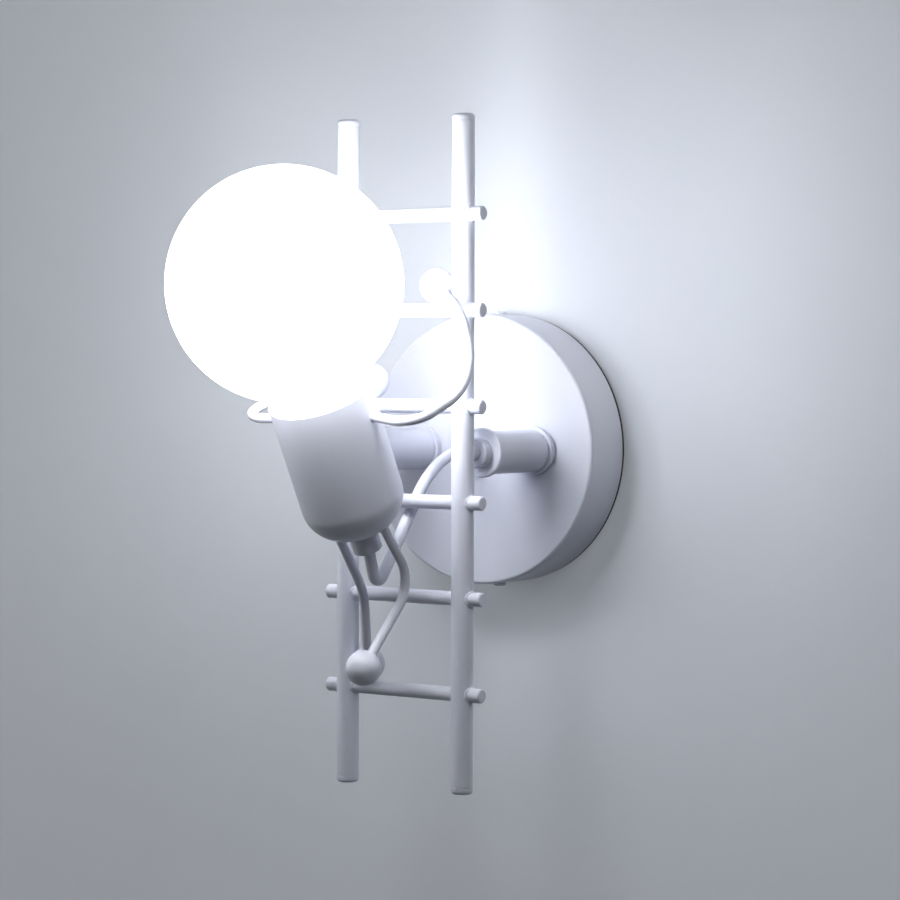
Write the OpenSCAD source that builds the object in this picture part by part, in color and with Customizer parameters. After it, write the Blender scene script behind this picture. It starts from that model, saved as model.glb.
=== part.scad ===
// Wall lamp in the form of a stick figure that climbs a small ladder.
// Millimetres. The wall is the plane y = 0, the lamp stands out along -Y, and +Z is up.
// The origin is the middle of the canopy on the wall.

/* [Canopy] */
// Outer diameter of the round canopy
canopy_d = 118; // [110:1:150]
// Depth of the canopy, from the wall to its front face
canopy_depth = 26; // [25:0.5:36]
// Thickness of the seal between the wall and the rim of the canopy
canopy_gap = 1.8; // [0.5:0.1:3]
// Sheet thickness of the canopy
canopy_wall = 1.2; // [0.8:0.1:1.8]
// Rounding of the front edge of the canopy
canopy_edge_r = 1.4; // [1.3:0.1:6]

/* [Wall bracket] */
// Width of the bracket strap
bracket_w = 26; // [22:0.5:34]
// Thickness of the bracket strap
bracket_t = 2; // [1.5:0.1:3]
// Width of the two end tabs of the bracket
tab_w = 16; // [10:0.5:20]
// Distance between the two wall screws
slot_spacing = 70; // [66:1:80]
// Width of a wall screw slot
slot_w = 5; // [4:0.1:6]
// Length of a wall screw slot
slot_l = 12; // [8:0.5:14]
// Diameter of the hole that lets the mains cable in
cable_hole_d = 14; // [8:0.5:16]
// Distance from the wall to the two side screws of the canopy
side_screw_y = 9.5; // [7:0.5:14]
// Thread diameter of the side screws
side_screw_d = 3; // [2.5:0.1:4]

/* [Ladder] */
// Distance from the wall to the axes of the rails
ladder_reach = 80; // [72:0.5:100]
// Distance between the axes of the two rails
rail_spacing = 60; // [52:0.5:70]
// Outer diameter of a rail
rail_d = 9.5; // [8:0.1:12]
// Wall of a rail tube
rail_wall = 1.2; // [0.8:0.1:1.6]
// Diameter of a rung
rung_d = 6; // [4:0.1:7]
// Length of a rung
rung_l = 80.5; // [76:0.5:100]
// Distance from one rung to the next
rung_pitch = 40; // [34:0.5:46]
// Length of a rail above the top rung and below the bottom rung
rail_overhang = 41.5; // [20:0.5:60]
// Height of the middle of the ladder below the middle of the canopy
ladder_drop = 0.5; // [0:0.5:3]
// Thickness of a rail's end cap
cap_t = 3; // [2:0.1:5]

/* [Standoffs] */
// Outer diameter of a standoff tube
standoff_d = 18.4; // [16:0.1:22]
// Wall of a standoff tube
standoff_wall = 1.5; // [1:0.1:2.5]
// Diameter of the rings at the two ends of a standoff
ring_d = 21; // [20:0.1:26]
// Thickness of the ring on the canopy
base_ring_t = 4; // [2:0.1:6]
// Thickness of the ring at the front of a standoff
front_ring_t = 2.5; // [1.5:0.1:5]
// Diameter of the spacer between a standoff and its rail
spacer_d = 12.6; // [11:0.1:16]
// Length of that spacer, up to the back of the rail
spacer_l = 8; // [6:0.5:14]
// Length of the narrow nose of the spacer, which meets the rail
nose_l = 2.8; // [1:0.1:4]
// Thread diameter of the long standoff screws
screw_d = 4; // [3:0.1:5]

/* [Supply tube] */
// Outer diameter of the bent tube that carries the lamp head
tube_d = 5; // [4.6:0.1:6]
// Bore of that tube
tube_bore = 3.6; // [3.4:0.1:4.2]
// Distance from the ladder back to the upper corner of the tube
tube_knee_back = 23.5; // [18:0.5:26]
// Straight stretch between the canopy's coupling and the upper bend
tube_straight = 0.5; // [0.2:0.1:4]
// Radius of the tight lower bend
tube_bend_lower = 3.5; // [3:0.1:6]
// Distance from the cup down to the lower corner of the tube
tube_corner = 27; // [24:0.5:32]
// Distance that the lower corner of the tube lies forward of the axis of the cup
tube_corner_forward = 2.8; // [0.5:0.1:3.5]
// Diameter of the couplings at the two ends of the tube
coupling_d = 12.2; // [10.9:0.1:14]
// Length of the coupling on the canopy
canopy_coupling_l = 7; // [6:0.5:7]
// Length of the coupling under the cup
cup_coupling_l = 9; // [7:0.5:12]
// Thread diameter of the hollow nipples
nipple_d = 7.8; // [7:0.1:8.4]
// Bore of the hollow nipples
nipple_bore = 5.4; // [4.4:0.1:5.8]

/* [Lamp head] */
// Distance from the ladder forward to the bottom of the lamp cup
head_forward = 29.5; // [26:0.5:36]
// Height of the bottom of the lamp cup below the middle of the canopy
head_drop = 31.5; // [28:0.5:36]
// Lean of the lamp head away from the wall, in degrees
head_tilt = 27; // [20:0.5:34]
// Outer diameter of the lamp cup
cup_d = 43; // [42:0.5:50]
// Length of the lamp cup
cup_l = 63; // [60:0.5:70]
// Sheet thickness of the lamp cup
cup_wall = 1; // [0.6:0.1:1.5]
// Diameter of the flat floor of the cup, inside its rounded edge
cup_floor_d = 12; // [11.5:0.5:14]

/* [Limbs] */
// Diameter of the bent wire of the arms and legs
limb_d = 4; // [3:0.1:5]
// Diameter of the balls that are hands and feet
ball_d = 14.6; // [12:0.1:18]
// Depth to which a wire sits in its ball
ball_grip = 4; // [2:0.5:6]
// Distance along the cup to the shoulders
shoulder_w = 52; // [46:0.5:56]
// Distance from the middle to the elbows
elbow_x = 42; // [38:0.5:46]
// Distance from the middle of the cup to the hips
hip_x = 13; // [10:0.5:14]

/* [Lampholder] */
// Diameter of the lampholder's base
base_d = 28; // [27:0.5:30]
// Height of the lampholder's base
base_h = 12; // [11:0.5:14]
// Diameter of the ceramic lampholder body
holder_d = 36; // [33:0.5:38]
// Height of the ceramic lampholder body
holder_h = 31; // [30:0.5:34]
// Thickness of the floor of the ceramic body
holder_floor = 5; // [3:0.5:7]
// Height of the spring contact above that floor
contact_h = 1.2; // [1:0.1:2]

/* [Bulb] */
// Diameter of the globe
globe_d = 95; // [80:1:110]
// Length of the bulb from its tip to the top of its globe
bulb_l = 137; // [130:1:160]
// Thickness of the opal glass
glass_t = 1; // [0.6:0.1:2]
// Diameter of the glass neck
neck_d = 35; // [33:0.5:37]
// Rounding between the neck and the globe
neck_blend = 8; // [4:0.5:12]
// Pitch of the screw cap
thread_pitch = 3.629; // [3:0.001:4]
// Outer diameter of the thread of the screw cap
thread_d = 26.05; // [25.5:0.05:26.4]
// Depth of that thread
thread_depth = 0.9; // [0.5:0.05:1.2]

/* [Clearances] */
// Radial room of a screw in its thread
thread_gap = 0.05; // [0.02:0.01:0.1]
// Radial room of a piece that is pushed in or welded in
push_gap = 0.1; // [0.05:0.01:0.2]
// Radial room of a screw or nipple in a plain hole
hole_gap = 0.2; // [0.1:0.05:0.4]
// Room between the bracket tabs and the canopy
tab_gap = 0.3; // [0.1:0.05:0.6]
// Room between round faces that rest on each other
seat_gap = 0.05; // [0.02:0.01:0.2]
// Radial room between the screw cap and the screw shell
shell_gap = 0.35; // [0.3:0.01:0.5]
// Room between the bulb's tip and the spring contact
tip_gap = 0.1; // [0.05:0.01:0.3]

/* [Hidden] */
$fn = 64;

// Finishes
white_paint = [0.93, 0.94, 0.96];
zinc = [0.75, 0.76, 0.78];
brass = [0.80, 0.66, 0.35];
cream = [0.93, 0.91, 0.84];
foam = [0.06, 0.06, 0.07];

// Room that a cut runs past the face it opens
past = 1;

// Canopy and bracket
canopy_r = canopy_d / 2;
canopy_bore = canopy_r - canopy_wall;
canopy_floor = canopy_depth - canopy_wall;
least_edge = 0.2;
canopy_inner_edge = max(canopy_edge_r - canopy_wall, least_edge);
seal_inset = 0.3;
tab_reach = sqrt(canopy_bore ^ 2 - (tab_w / 2) ^ 2) - tab_gap;
tab_beyond_screw = 5;
tab_h = side_screw_y + tab_beyond_screw;
fold_inner_r = 1;
fold_r = bracket_t + fold_inner_r;
side_head_d = 5.6;
side_head_h = 1.6;
earth_inset = 5;
earth_drop = 17;
earth_at = [bracket_w / 2 - earth_inset, -earth_drop];
earth_screw_d = 4;
earth_head_d = 7;
earth_head_h = 2.4;
lug_t = 0.8;
lug_d = 7.6;
lug_barrel_d = 3;
lug_barrel_l = 6;
lug_barrel_y = bracket_t + lug_barrel_d / 2 + seat_gap;

// Terminal block on the bracket: width, depth from the strap, height, and where it starts above the middle
block = [28, 14, 12];
block_z = 12;
pole_pitch = 9;
pole_y = bracket_t + block.y / 2;
pole_bore = 3;
clamp_d = 2.6;
clamp_inset = 3;
block_screw_d = 3;
block_screw_head = 5;
block_screw_x = pole_pitch / 2;

// Standoffs and ladder
rail_x = rail_spacing / 2;
rail_bore = rail_d - 2 * rail_wall;
spacer_back = ladder_reach - rail_d / 2 - spacer_l;
front_ring_back = spacer_back - front_ring_t;
tube_back = canopy_depth + base_ring_t;
ring_spigot = 3;
ring_edge = 0.5;
ring_groove = 0.8;
nose_wall = 1.1;
saddle = 1;
standoff_bore = standoff_d - 2 * standoff_wall;
insert_l = 14;
washer_d = 9;
washer_t = 0.8;
screw_head_d = 7.6;
screw_head_h = 2.6;
rail_top = 2.5 * rung_pitch + rail_overhang - ladder_drop;
rail_bottom = -2.5 * rung_pitch - rail_overhang - ladder_drop;
cap_edge = 1.6;
cap_seam = 0.3;
cap_spigot = 5;
rung_edge = 0.5;
function rung_z(i) = (3.5 - i) * rung_pitch - ladder_drop;

// Lamp head: a point given by its distance to the right, across and along the axis of the cup
head_reach = ladder_reach + head_forward;
function head(x, v, w) = [
  x,
  -head_reach + v * cos(head_tilt) - w * sin(head_tilt),
  -head_drop + v * sin(head_tilt) + w * cos(head_tilt)
];
cup_round = (cup_d - cup_floor_d) / 2;
nut_t = 3;
nut_flange_t = 1;
nut_af = 12;
nipple_thread_l = 5;
canopy_thread_l = canopy_coupling_l / 2;
nipple_tail = 5;

// Lampholder, measured along the axis of the cup
base_w = cup_wall + nut_flange_t + nut_t;
base_grip = 6;
base_wall = 1.5;
holder_w = base_w + base_h;
floor_w = holder_w + holder_floor;
holder_top = holder_w + holder_h;
shell_wall = 0.5;
shell_below_top = 3;
shell_top = holder_top - shell_below_top;
shell_r = thread_d / 2 + shell_gap + shell_wall;
shell_foot_r = 10.2;
shell_foot_t = 0.5;
contact_w = 6;
contact_t = 0.5;
contact_far = 9.5;
terminal = [6, 5, 4];
live_terminal_x = -11;
neutral_terminal_x = 6;
live_stud_x = -7.5;
neutral_stud_x = 11;
stud_d = 2;
terminal_w = holder_w - terminal.z / 2;
wire_seat = 3;

// Bulb, measured along the axis of the cup from its tip
tip_w = floor_w + contact_h + tip_gap;
tip_d = 9.4;
tip_h = 2;
insulator_h = 5;
insulator_edge = 0.8;
insulator_inset = 0.3;
cap_sheet = 0.4;
cap_lip = 2.6;
cap_thread_l = 16;
cap_rim_l = 4;
cap_rim_r = 13.3;
cap_w = tip_w + tip_h + insulator_h;
cap_thread_top = cap_w + cap_thread_l;
cap_top = cap_thread_top + cap_rim_l;
cap_bore_r = thread_d / 2 - thread_depth - cap_sheet;
collar_l = 9;
collar_edge = 0.5;
collar_lip_l = 3;
collar_spigot = 4;
collar_wall = 1.2;
neck_w = cap_top + collar_l;
collar_top = neck_w + collar_lip_l;
collar_lip_r = neck_d / 2 - glass_t - push_gap;
board_t = 1.6;
board_room = 0.8;
board_r = collar_lip_r - board_room;
chip = [3.5, 2.8, 0.7];
chip_count = 10;
chip_ring_r = 0.7 * board_r;
globe_r = globe_d / 2;
globe_w = tip_w + bulb_l - globe_r;

// Supply tube: its upper bend starts straight after the canopy's coupling. A slight bend lies under the
// coupling of the cup
tube_below_coupling = 2;
tube_exit = cup_coupling_l + tube_below_coupling;
tube_exit_bend = 8;
tube_knee_y = ladder_reach - tube_knee_back;
tube_corners = [
  [0, -canopy_depth - canopy_thread_l, 0],
  [0, -tube_knee_y, 0],
  head(0, -tube_corner_forward, -tube_corner),
  head(0, 0, -tube_exit),
  head(0, 0, -nipple_thread_l)
];
tube_bend_upper = (tube_knee_y - canopy_depth - canopy_coupling_l - tube_straight)
  / tan(turn(tube_corners, 1) / 2);
tube_bends = [tube_bend_upper, tube_bend_lower, tube_exit_bend];

// Wires
wire_d = 1.4;
wire_x = 0.8;
earth_wire_d = 1.8;
wire_bend = 3;
wire_grip = 6;
// Stretch that both lamp wires share with the supply tube, at a distance x from its middle
function in_tube(x) = [
  [x, -pole_y, 0], [x, -tube_knee_y, 0], head(x, -tube_corner_forward, -tube_corner),
  head(x, 0, -tube_exit), head(x, 0, terminal_w)
];
live_corners = [
  [-pole_pitch, -pole_y, block_z + wire_grip], [-pole_pitch, -pole_y, block_z / 3],
  each in_tube(-wire_x), head(live_terminal_x + terminal.x - wire_seat, 0, terminal_w)
];
neutral_corners = [
  [0, -pole_y, block_z + wire_grip], [0, -pole_y, block_z / 2],
  each in_tube(wire_x), head(neutral_terminal_x + wire_seat, 0, terminal_w)
];
lug_wire_z = earth_at.y + lug_d / 2 + lug_barrel_l;
lug_grip = 4;
earth_corners = [
  [pole_pitch, -pole_y, block_z + wire_grip], [pole_pitch, -pole_y, block_z / 3],
  [earth_at.x, -lug_barrel_y, lug_wire_z + lug_grip], [earth_at.x, -lug_barrel_y, lug_wire_z - lug_grip]
];

// A ball that rests on rung i, a little forward of its top
ball_lift = rung_d / 2 + ball_d / 2 + seat_gap;
function on_rung(x, forward, i) = [
  x, -ladder_reach - forward, rung_z(i) + sqrt(ball_lift ^ 2 - forward ^ 2)
];

// Hands and feet: room beside the rail, and how far forward of the rung they rest
beside_rail = rail_x - rail_d / 2 - ball_d / 2;
hand_right_room = 0.4;
hand_right_forward = 1.2;
hand_left_room = 0.65;
foot_left_room = 0.3;
foot_left_forward = 2.2;
hand_right_at = on_rung(beside_rail - hand_right_room, hand_right_forward, 2);
hand_left_at = on_rung(hand_left_room - beside_rail, 0, 3);
foot_left_at = on_rung(foot_left_room - beside_rail, foot_left_forward, 6);

// The right foot hangs free in front of the ladder
foot_right_in = 3;
foot_right_forward = 41.5;
foot_right_lift = 3;
foot_right_at = [
  hip_x - foot_right_in, -ladder_reach - foot_right_forward, rung_z(6) + ball_lift + foot_right_lift
];

// Shoulders, elbows, forearms and wrists. The right arm leaves the cup some degrees behind its side
limb_start = 0.3;
shoulder_r = cup_d / 2 - cup_wall + limb_start;
shoulder_turn = 8;
elbow_right_sink = 2.6;
elbow_right_back = 1.2;
elbow_left_sink = 0.8;
elbow_left_out = 9.4;
arm_right_forward = 14.4;
forearm_right_out = 5.75;
forearm_right_lift = 10.1;
forearm_right_at = [
  elbow_x + forearm_right_out, -ladder_reach - arm_right_forward, rung_z(3) + forearm_right_lift
];
wrist_right_in = 2.25;
wrist_right_sink = 1.9;
wrist_right_at = [
  elbow_x - wrist_right_in, -ladder_reach - arm_right_forward, rung_z(2) - wrist_right_sink
];
arm_left_forward = 20.5;
forearm_left_out = 2.5;
forearm_left_lift = 5.4;
forearm_left_at = [
  -elbow_x - forearm_left_out, -ladder_reach - arm_left_forward, rung_z(3) + forearm_left_lift
];

// Hips and knees
hip_forward = 1.8;
hip_r = norm([hip_x, hip_forward]);
hip_w = cup_round - sqrt((cup_round - cup_wall) ^ 2 - (hip_r - cup_floor_d / 2) ^ 2) + 2 * limb_start;
knee_right_in = 0.7;
knee_right_forward = 11;
knee_right_lift = 6.8;
knee_right_at = [hip_x - knee_right_in, -ladder_reach - knee_right_forward, rung_z(5) + knee_right_lift];
knee_left_in = 0.6;
knee_left_forward = 12;
knee_left_lift = 2.2;
knee_left_at = [knee_left_in - hip_x, -ladder_reach - knee_left_forward, rung_z(5) + knee_left_lift];

// Routes of the limbs: corner points, with a bend radius for each corner between the ends
arm_right_corners = [
  head(shoulder_r * cos(shoulder_turn), shoulder_r * sin(shoulder_turn), shoulder_w),
  head(elbow_x, elbow_right_back, shoulder_w - elbow_right_sink),
  forearm_right_at, wrist_right_at, hand_right_at
];
arm_right_bends = [12, 28, 18];
arm_left_corners = [
  head(-shoulder_r, 0, shoulder_w), head(-elbow_x - elbow_left_out, 0, shoulder_w - elbow_left_sink),
  forearm_left_at, hand_left_at
];
arm_left_bends = [16, 13];
leg_right_corners = [head(hip_x, -hip_forward, hip_w), knee_right_at, foot_right_at];
leg_right_bends = [14.5];
leg_left_corners = [head(-hip_x, -hip_forward, hip_w), knee_left_at, foot_left_at];
leg_left_bends = [45];

// Directions and bends along a route
function unit(v) = v / norm(v);
function way(p, i) = unit(p[i + 1] - p[i]);
function turn(p, i) = acos(way(p, i - 1) * way(p, i));

// Points of a route, with each corner rounded to an arc of a point every few degrees
function corner_arc(p, i, r, step) = let(
  a = way(p, i - 1),
  angle = turn(p, i),
  side = cross(unit(cross(a, way(p, i))), a),
  start = p[i] - a * r * tan(angle / 2),
  count = max(2, ceil(angle / step))
) [for (k = [0:count]) start + side * r * (1 - cos(angle * k / count)) + a * r * sin(angle * k / count)];
function route(p, bends, step = 9) = concat(
  [p[0]],
  [for (i = [1:len(p) - 2]) each corner_arc(p, i, bends[i - 1], step)],
  [p[len(p) - 1]]
);

// Direction of the route at each of its points
function along(q) = [
  for (i = [0:len(q) - 1])
    unit((i > 0 ? way(q, i - 1) : [0, 0, 0]) + (i < len(q) - 1 ? way(q, i) : [0, 0, 0]))
];

// Sideways directions carried along the route without twist
function square_to(v, t) = unit(v - t * (v * t));
function carried(t, last, i = 0) = i == len(t) ? []
  : let(v = square_to(last, t[i])) concat([v], carried(t, v, i + 1));

// Solid round bar along the points of a route
module bar(q, d, sides = 16) {
  t = along(q);
  u = carried(t, abs(t[0].x) < 0.7 ? [1, 0, 0] : [0, 0, 1]);
  rings = len(q);
  points = [
    for (i = [0:rings - 1])
      for (k = [0:sides - 1])
        q[i] + d / 2 * (u[i] * cos(360 * k / sides) + cross(t[i], u[i]) * sin(360 * k / sides))
  ];
  skin = [
    for (i = [0:rings - 2])
      for (k = [0:sides - 1])
        let(a = i * sides + k, b = i * sides + (k + 1) % sides)
          each [[a, a + sides, b], [b, a + sides, b + sides]]
  ];
  ends = [[for (k = [0:sides - 1]) k], [for (k = [sides - 1:-1:0]) (rings - 1) * sides + k]];
  polyhedron(points, concat(skin, ends), convexity = 6);
}

// Point where a wire ends inside its ball
function ball_seat(p) = let(n = len(p) - 1) p[n] - way(p, n - 1) * (ball_d / 2 - ball_grip);
function with_end(p, last) = [for (i = [0:len(p) - 1]) i < len(p) - 1 ? p[i] : last];

// Turns a shape so that its z points along v
module facing(v) {
  rotate([0, acos(v.z / norm(v)), atan2(v.y, v.x)]) children();
}

// Round bar from one point to another
module rod(a, b, d) {
  translate(a)
    facing(b - a) cylinder(d = d, h = norm(b - a));
}

module at_head() {
  translate(head(0, 0, 0))
    rotate([head_tilt, 0, 0])
      children();
}

// Stands a shape on the wall: its z becomes the distance from the wall, its y becomes the height
module off_wall() {
  rotate([90, 0, 0]) children();
}

// Half outline of a drawn cup of radius r and height h, its closed end up, its edge rounded
module cup_half(r, h, edge) {
  intersection() {
    union() {
      square([r, h - edge]);
      square([r - edge, h]);
      translate([r - edge, h - edge]) circle(r = edge);
    }
    square([r, h]);
  }
}

module ring(outer_d, bore_d, h) {
  difference() {
    cylinder(d = outer_d, h = h);
    translate([0, 0, -past]) cylinder(d = bore_d, h = h + 2 * past);
  }
}

// Pan head with a cross recess on a shank, the head on top with its underside at z = 0
module pan_screw(d, head_d, head_h, l) {
  edge = head_h * 0.45;
  recess = [head_d * 0.55, head_d * 0.14, head_h * 0.5];
  difference() {
    rotate_extrude() {
      square([head_d / 2 - edge, head_h]);
      square([head_d / 2, head_h - edge]);
      intersection() {
        translate([head_d / 2 - edge, head_h - edge]) circle(r = edge);
        translate([head_d / 2 - edge, head_h - edge]) square(edge);
      }
      translate([0, -l]) square([d / 2, l]);
    }
    for (a = [0, 90])
      rotate([0, 0, a])
        translate([-recess.x / 2, -recess.y / 2, head_h - recess.z]) cube(recess + [0, 0, past]);
  }
}

module hollow_nipple(l) {
  ring(nipple_d, nipple_bore, l);
}

// Hexagon nut on a round flange, the flange at z = 0
module flange_nut() {
  difference() {
    union() {
      cylinder(d = cup_floor_d, h = nut_flange_t);
      translate([0, 0, nut_flange_t])
        cylinder(d = nut_af / cos(30), h = nut_t, $fn = 6);
    }
    translate([0, 0, -past])
      cylinder(d = nipple_d + 2 * thread_gap, h = nut_t + nut_flange_t + 2 * past);
  }
}

thread_sides = 20;
// Closed ring wound by the thread: each row of points is [radius, place along the axis, thread depth]
module threaded_ring(rows) {
  count = len(rows);
  sides = thread_sides;
  points = [
    for (row = rows)
      for (k = [0:sides - 1])
        let(r = row[0] + row[2] / 2 * cos(360 * row[1] / thread_pitch - 360 * k / sides))
          [r * cos(360 * k / sides), r * sin(360 * k / sides), row[1]]
  ];
  faces = [
    for (i = [0:count - 1])
      for (k = [0:sides - 1])
        let(next = (i + 1) % count, a = i * sides + k, b = i * sides + (k + 1) % sides)
          let(c = next * sides + k, d = next * sides + (k + 1) % sides)
            each [[a, c, b], [b, c, d]]
  ];
  polyhedron(points, faces, convexity = 8);
}

// Rows of a thread between two places along the axis. It runs out at both ends: outwards is 1, inwards -1
thread_rows_per_turn = 6;
thread_runout = 3;
thread_mean_r = (thread_d - thread_depth) / 2;
function thread_rows(r, from, to, runout) = let(
  count = ceil((to - from) / thread_pitch * thread_rows_per_turn)
) [
  for (i = [0:count])
    let(fade = min(1, i / thread_runout, (count - i) / thread_runout))
      [r + runout * (1 - fade) * thread_depth / 2, from + (to - from) * i / count, thread_depth * fade]
];

// Pieces on the wall

// Folded profile of the bracket: across is the height, up is the distance from the wall
module bracket_fold() {
  difference() {
    union() {
      translate([-tab_reach, fold_r]) square([2 * tab_reach, tab_h - fold_r]);
      translate([-tab_reach + fold_r, 0]) square([2 * (tab_reach - fold_r), fold_r]);
      for (s = [-1, 1])
        translate([s * (tab_reach - fold_r), fold_r]) circle(r = fold_r);
    }
    union() {
      translate([-tab_reach + bracket_t, fold_r]) square([2 * (tab_reach - bracket_t), tab_h]);
      translate([-tab_reach + fold_r, bracket_t]) square([2 * (tab_reach - fold_r), tab_h]);
      for (s = [-1, 1])
        translate([s * (tab_reach - fold_r), fold_r]) circle(r = fold_inner_r);
    }
  }
}

module slot(l, d, h) {
  for (s = [-1, 1])
    translate([0, s * (l - d) / 2, 0]) cylinder(d = d, h = h);
  translate([-d / 2, -(l - d) / 2, 0]) cube([d, l - d, h]);
}

module wall_bracket() {
  strap_l = 2 * (tab_reach - 2 * fold_r);
  through = bracket_t + 2 * past;
  color(zinc)
    difference() {
      off_wall() {
        translate([-tab_w / 2, 0, 0])
          rotate([90, 0, 90])
            linear_extrude(tab_w) bracket_fold();
        translate([-bracket_w / 2, -strap_l / 2, 0])
          cube([bracket_w, strap_l, bracket_t]);
      }
      off_wall() {
        for (s = [-1, 1])
          translate([0, s * slot_spacing / 2, -past]) slot(slot_l, slot_w, through);
        translate([0, 0, -past]) cylinder(d = cable_hole_d, h = through);
        translate([earth_at.x, earth_at.y, -past])
          cylinder(d = earth_screw_d + 2 * thread_gap, h = through);
        translate([block_screw_x, block_z + block.z / 2, -past])
          cylinder(d = block_screw_d + 2 * thread_gap, h = through);
      }
      translate([0, -side_screw_y, -tab_reach - past])
        cylinder(d = side_screw_d + 2 * thread_gap, h = 2 * (tab_reach + past));
    }
}

module earth_screw() {
  color(zinc)
    off_wall()
      translate([earth_at.x, earth_at.y, bracket_t + lug_t])
        pan_screw(earth_screw_d, earth_head_d, earth_head_h, bracket_t + lug_t);
}

module earth_lug() {
  barrel_start = earth_at.y + lug_d / 2;
  tongue_w = lug_barrel_d;
  color(zinc)
    off_wall()
      difference() {
        union() {
          translate([earth_at.x, earth_at.y, bracket_t]) cylinder(d = lug_d, h = lug_t);
          translate([earth_at.x - tongue_w / 2, earth_at.y, bracket_t])
            cube([tongue_w, lug_d / 2 + lug_barrel_l, lug_t]);
          translate([earth_at.x, barrel_start, lug_barrel_y])
            rotate([-90, 0, 0]) cylinder(d = lug_barrel_d, h = lug_barrel_l);
        }
        translate([earth_at.x, earth_at.y, 0])
          cylinder(d = earth_screw_d + 2 * hole_gap, h = bracket_t + lug_t + past);
        translate([earth_at.x, barrel_start - past, lug_barrel_y])
          rotate([-90, 0, 0]) cylinder(d = earth_wire_d + 2 * push_gap, h = lug_barrel_l + 2 * past);
      }
}

module terminal_block() {
  front = bracket_t + block.y;
  color(cream)
    off_wall()
      difference() {
        translate([-block.x / 2, block_z, bracket_t]) cube([block.x, block.z, block.y]);
        for (i = [-1:1])
          translate([i * pole_pitch, block_z - past, pole_y])
            rotate([-90, 0, 0]) cylinder(d = pole_bore, h = block.z + 2 * past);
        at_clamps() translate([0, 0, pole_y])
          cylinder(d = clamp_d + 2 * thread_gap, h = block.y);
        translate([block_screw_x, block_z + block.z / 2, 0])
          cylinder(d = block_screw_d + 2 * hole_gap, h = front + past);
      }
}

// The six clamp screws of the terminal block, two for each pole
module at_clamps() {
  for (i = [-1:1])
    for (h = [block_z + clamp_inset, block_z + block.z - clamp_inset])
      translate([i * pole_pitch, h, 0]) children();
}

module terminal_screws() {
  foot = pole_y + earth_wire_d / 2 + seat_gap;
  top = bracket_t + block.y - past;
  groove = [clamp_d + past, 0.5, 0.6];
  color(brass)
    off_wall()
      at_clamps()
        difference() {
          translate([0, 0, foot]) cylinder(d = clamp_d, h = top - foot);
          translate([-groove.x / 2, -groove.y / 2, top - groove.z]) cube(groove + [0, 0, past]);
        }
}

module block_screw() {
  color(zinc)
    off_wall()
      translate([block_screw_x, block_z + block.z / 2, bracket_t + block.y])
        pan_screw(block_screw_d, block_screw_head, block_screw_d / 2, bracket_t + block.y);
}

module canopy() {
  color(white_paint)
    difference() {
      off_wall()
        rotate_extrude($fn = 128)
          difference() {
            translate([0, canopy_gap])
              cup_half(canopy_r, canopy_depth - canopy_gap, canopy_edge_r);
            cup_half(canopy_bore, canopy_floor, canopy_inner_edge);
          }
      off_wall() {
        cylinder(d = nipple_d + 2 * hole_gap, h = canopy_depth + past);
        at_standoffs() cylinder(d = screw_d + 2 * hole_gap, h = canopy_depth + past);
      }
      translate([0, -side_screw_y, -canopy_r - past])
        cylinder(d = side_screw_d + 2 * hole_gap, h = 2 * (canopy_r + past));
    }
}

module wall_seal() {
  color(foam)
    off_wall()
      ring(canopy_d - 2 * seal_inset, 2 * canopy_bore, canopy_gap);
}

module side_screws() {
  grip = canopy_r + seat_gap - tab_reach + bracket_t + past;
  color(white_paint)
    for (s = [0, 1])
      mirror([0, 0, s])
        translate([0, -side_screw_y, canopy_r + seat_gap])
          pan_screw(side_screw_d, side_head_d, side_head_h, grip);
}

// Standoffs: side is -1 on the left and 1 on the right

module at_standoffs() {
  for (s = [-1, 1])
    translate([s * rail_x, 0, 0]) children();
}

// Ring with broken edges or with a groove at each face, and a spigot that centres the standoff tube
module end_ring(h, spigot_from, spigot_to, groove = 0) {
  r = ring_d / 2;
  hole_r = screw_d / 2 + hole_gap;
  spigot_r = standoff_bore / 2 - push_gap;
  neck_r = standoff_d / 2 - groove;
  edge = groove > 0
    ? [[neck_r, 0], [neck_r, groove], [r, groove], [r, h - groove], [neck_r, h - groove], [neck_r, h]]
    : [[r - ring_edge, 0], [r, ring_edge], [r, h - ring_edge], [r - ring_edge, h]];
  rotate_extrude()
    polygon([[hole_r, 0], each edge, [hole_r, h]]);
  translate([0, 0, spigot_from])
    ring(2 * spigot_r, 2 * hole_r, spigot_to - spigot_from);
}

module base_ring(side) {
  color(white_paint)
    off_wall()
      translate([side * rail_x, 0, canopy_depth])
        end_ring(base_ring_t, base_ring_t - past, base_ring_t + ring_spigot, ring_groove);
}

module standoff_tube(side) {
  color(white_paint)
    off_wall()
      translate([side * rail_x, 0, tube_back])
        ring(standoff_d, standoff_bore, front_ring_back - tube_back);
}

module front_ring(side) {
  color(white_paint)
    off_wall()
      translate([side * rail_x, 0, front_ring_back])
        end_ring(front_ring_t, -ring_spigot, past);
}

// Spacer with a narrow nose whose end is hollowed to the rail
module spacer(side) {
  hole_r = screw_d / 2 + hole_gap;
  r = spacer_d / 2;
  nose_r = hole_r + nose_wall;
  body = spacer_l - nose_l;
  tip = spacer_l + saddle;
  color(white_paint)
    off_wall()
      difference() {
        translate([side * rail_x, 0, spacer_back])
          rotate_extrude()
            polygon([
              [hole_r, 0], [r, 0], [r, body - ring_edge], [r - ring_edge, body],
              [nose_r, body], [nose_r, tip], [hole_r, tip]
            ]);
        translate([side * rail_x, -spacer_d, ladder_reach])
          rotate([-90, 0, 0]) cylinder(d = rail_d + 2 * seat_gap, h = 2 * spacer_d);
      }
}

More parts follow.
